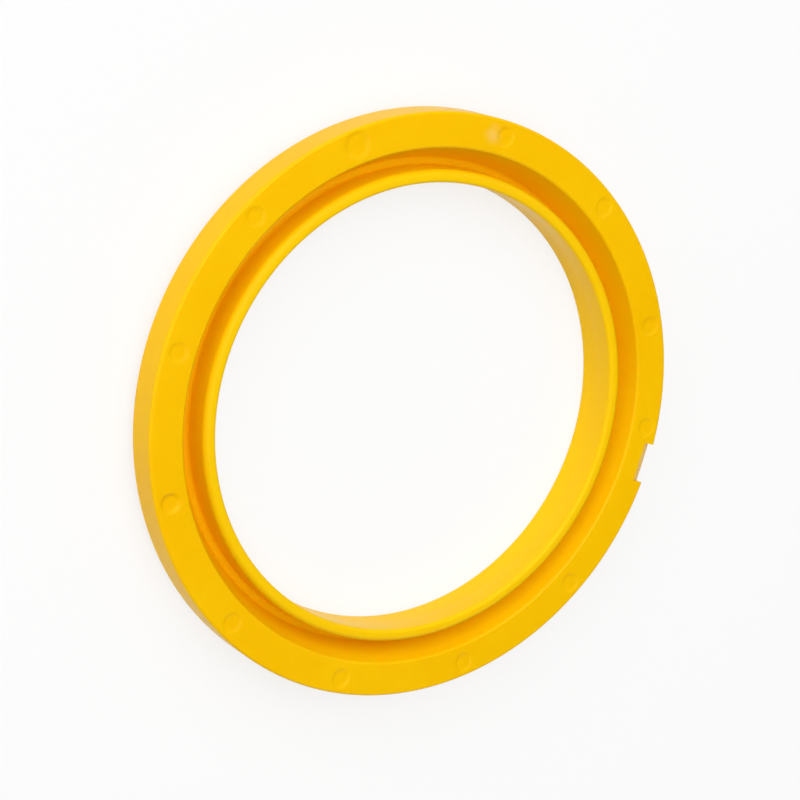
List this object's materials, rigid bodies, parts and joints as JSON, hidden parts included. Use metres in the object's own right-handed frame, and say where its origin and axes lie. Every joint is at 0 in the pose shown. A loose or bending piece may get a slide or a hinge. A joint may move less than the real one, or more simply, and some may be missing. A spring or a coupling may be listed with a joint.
{
  "type": "u cup seal",
  "caption": "Moulded ring seal with a wide outer wall, a thin inner lip and a U groove open to its flat face, for sealing round a rod.",
  "frame": {"origin": "centre of the heel face, on the ring's axis", "axes": "+Z along the ring's axis, from the heel to the face with the groove; +X through the notch in the rim"},
  "size_m": [0.0826, 0.0826, 0.0074],
  "materials": {
    "seal_body": "smooth semi-gloss yellow, as moulded"
  },
  "bodies": {
    "root": {"u_cup_seal": "seal_body"}
  },
  "joints": []
}
